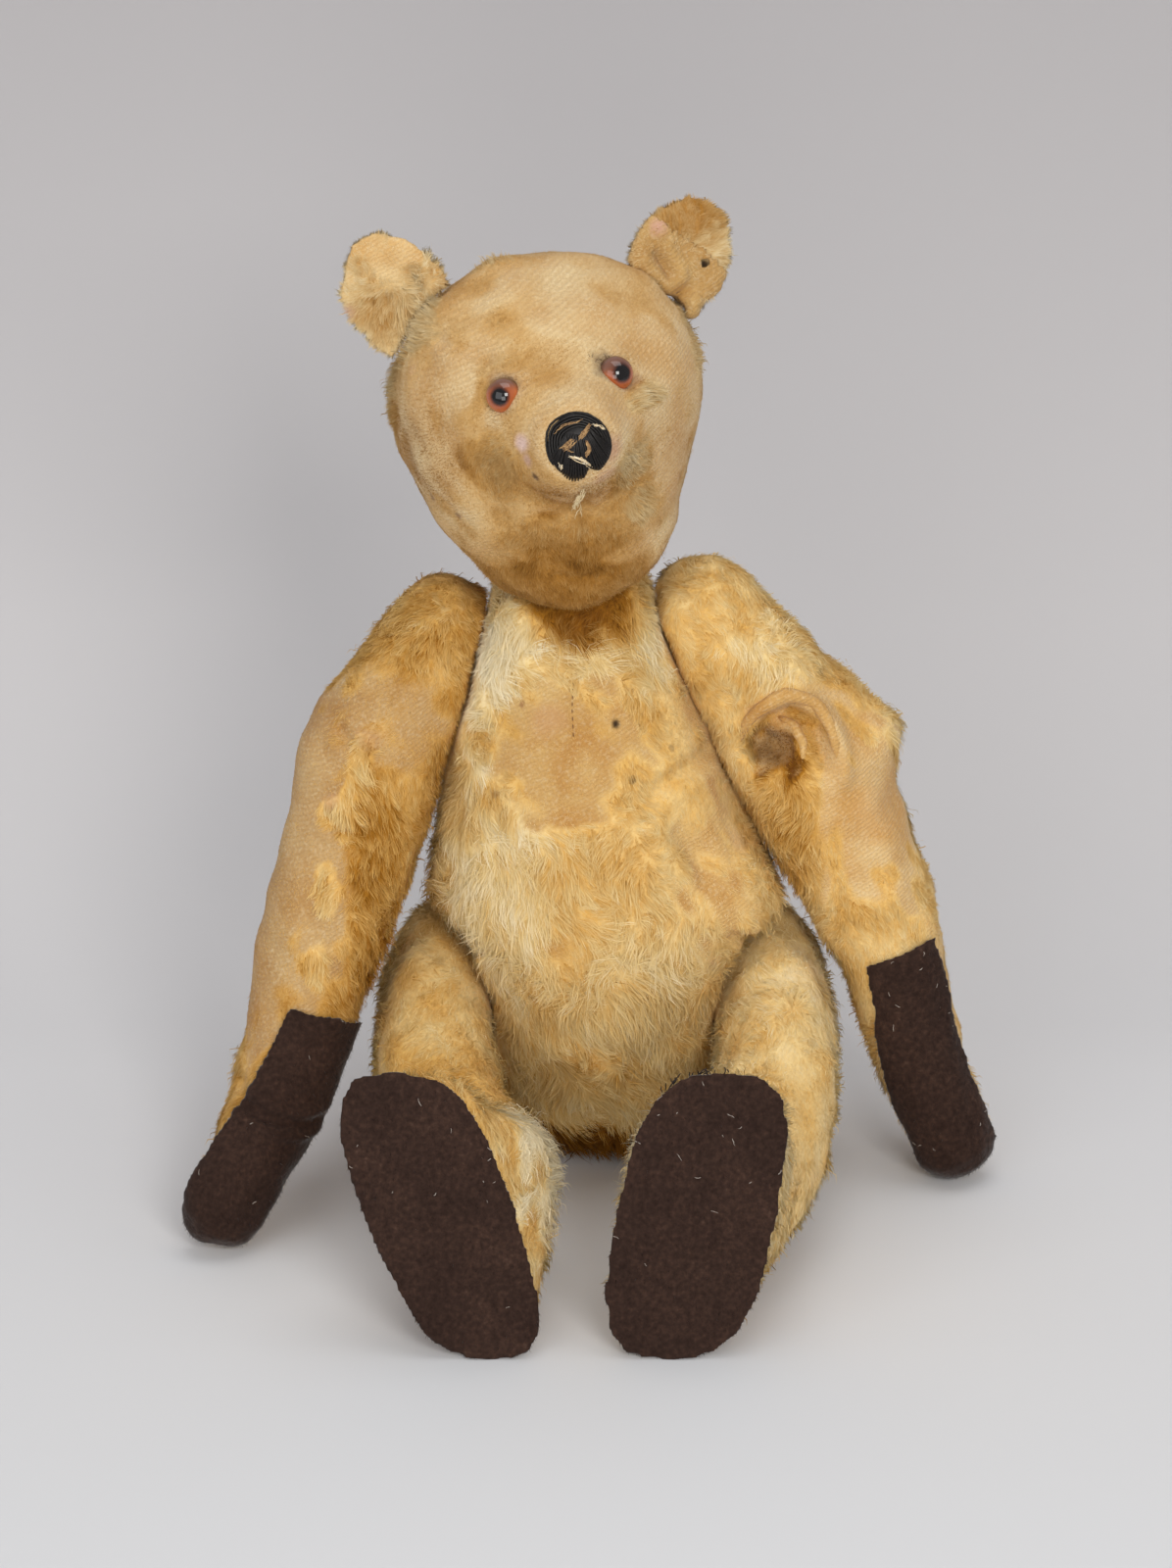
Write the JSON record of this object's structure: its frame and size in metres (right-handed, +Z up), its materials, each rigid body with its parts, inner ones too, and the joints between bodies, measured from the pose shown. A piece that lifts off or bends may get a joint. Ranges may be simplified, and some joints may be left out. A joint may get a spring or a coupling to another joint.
{
  "type": "jointed teddy bear",
  "caption": "Sitting jointed teddy bear with a long muzzle, worn pale mohair, glass eyes, a stitched nose and brown pads.",
  "frame": {"origin": "on the floor, under the middle of the flat seat", "axes": "+Z up, the bear faces -Y, and its own left side is +X"},
  "size_m": [0.3095, 0.2285, 0.3829],
  "materials": {
    "worn_mohair": "threadbare pile over an orange tan woven back",
    "brown_velveteen": "short matt pile with pale lint",
    "wood_wool": "packed fine shavings",
    "black_silk_thread": "rows of worn shiny stitches",
    "amber_glass": "glossy glass with a black pupil",
    "hardboard": "matt pressed board",
    "dull_steel": "dull"
  },
  "bodies": {
    "torso": {"left_hip_body_disc": "hardboard", "left_hip_body_washer": "dull_steel", "left_shoulder_body_disc": "hardboard", "left_shoulder_body_washer": "dull_steel", "neck_body_disc": "hardboard", "neck_body_washer": "dull_steel", "right_hip_body_disc": "hardboard", "right_hip_body_washer": "dull_steel", "right_shoulder_body_disc": "hardboard", "right_shoulder_body_washer": "dull_steel", "torso_cover": "worn_mohair", "torso_stuffing": "wood_wool"},
    "head": {"head_cover": "worn_mohair", "head_stuffing": "wood_wool", "left_ear": "worn_mohair", "left_eye": "amber_glass", "left_eye_shank": "dull_steel", "neck_limb_disc": "hardboard", "neck_limb_washer": "dull_steel", "neck_pin": "dull_steel", "nose_stitching": "black_silk_thread", "right_ear": "worn_mohair", "right_eye": "amber_glass", "right_eye_shank": "dull_steel"},
    "left_arm": {"left_arm_cover": "worn_mohair", "left_arm_stuffing": "wood_wool", "left_paw_pad": "brown_velveteen", "left_shoulder_limb_disc": "hardboard", "left_shoulder_limb_washer": "dull_steel", "left_shoulder_pin": "dull_steel"},
    "right_arm": {"right_arm_cover": "worn_mohair", "right_arm_stuffing": "wood_wool", "right_paw_pad": "brown_velveteen", "right_shoulder_limb_disc": "hardboard", "right_shoulder_limb_washer": "dull_steel", "right_shoulder_pin": "dull_steel"},
    "left_leg": {"left_foot_pad": "brown_velveteen", "left_hip_limb_disc": "hardboard", "left_hip_limb_washer": "dull_steel", "left_hip_pin": "dull_steel", "left_leg_cover": "worn_mohair", "left_leg_stuffing": "wood_wool"},
    "right_leg": {"right_foot_pad": "brown_velveteen", "right_hip_limb_disc": "hardboard", "right_hip_limb_washer": "dull_steel", "right_hip_pin": "dull_steel", "right_leg_cover": "worn_mohair", "right_leg_stuffing": "wood_wool"}
  },
  "joints": [
    {"name": "neck", "type": "hinge", "parent": "torso", "child": "head", "pos_m": [-0.0075, 0, 0.2375], "axis": [-0.1392, 0, 0.9903], "continuous": true},
    {"name": "left_shoulder", "type": "hinge", "parent": "torso", "child": "left_arm", "pos_m": [0.028, 0.008, 0.209], "axis": [-0.9272, 0, -0.3746], "range_deg": [-110, 90]},
    {"name": "right_shoulder", "type": "hinge", "parent": "torso", "child": "right_arm", "pos_m": [-0.046, 0.008, 0.203], "axis": [-0.9613, 0, 0.2756], "range_deg": [-125, 75]},
    {"name": "left_hip", "type": "hinge", "parent": "torso", "child": "left_leg", "pos_m": [0.046, 0.005, 0.053], "axis": [-1, 0, 0], "range_deg": [-135, 8]},
    {"name": "right_hip", "type": "hinge", "parent": "torso", "child": "right_leg", "pos_m": [-0.04, 0.005, 0.053], "axis": [-1, 0, 0], "range_deg": [-135, 8]}
  ]
}
